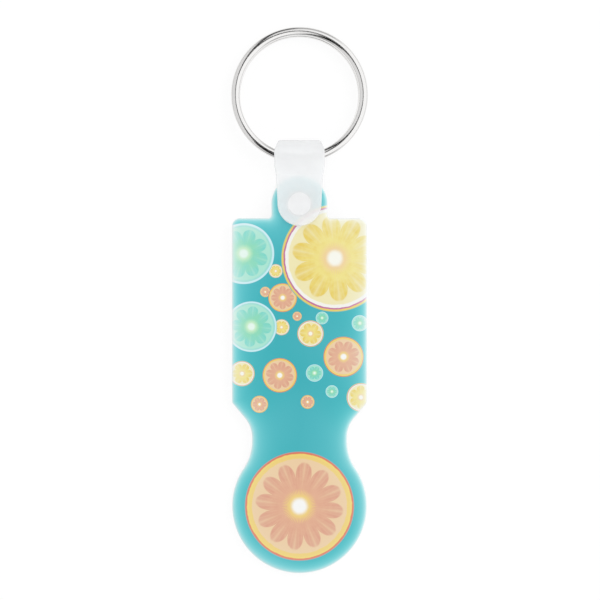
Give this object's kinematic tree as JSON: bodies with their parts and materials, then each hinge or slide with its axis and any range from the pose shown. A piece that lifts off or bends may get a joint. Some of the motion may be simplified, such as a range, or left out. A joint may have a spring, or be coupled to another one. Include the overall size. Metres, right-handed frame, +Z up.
{
  "type": "trolley coin keyring",
  "caption": "Flat printed plastic trolley token with a coin-sized round end, a necked body and a round tab, hung by a snapped plastic strap on a steel split ring.",
  "frame": {"origin": "on the floor, under the middle of the keyring's bounding box, as it lies face up", "axes": "+Y runs along the keyring from the coin end to the ring, +X to the right when seen from above, +Z up from the floor"},
  "size_m": [0.0236, 0.0944, 0.0063],
  "materials": {
    "printed_plastic": "printed white plastic, satin gloss, teal ground with coloured round motifs",
    "frosted_plastic": "milky translucent, soft sheen",
    "polished_nickel": "polished nickel plate"
  },
  "bodies": {
    "token": {"token": "printed_plastic"},
    "strap": {"strap": "frosted_plastic"},
    "split_ring": {"split_ring": "polished_nickel"}
  },
  "joints": [
    {"name": "strap_swivel", "type": "hinge", "parent": "token", "child": "strap", "pos_m": [0, 0.01663, 0.00321], "axis": [0, -0.0326, 0.9995], "range_deg": [-50, 50]},
    {"name": "ring_swing", "type": "hinge", "parent": "strap", "child": "split_ring", "pos_m": [0, 0.02483, 0.00348], "axis": [1, 0, 0], "range_deg": [-117, 132]}
  ]
}
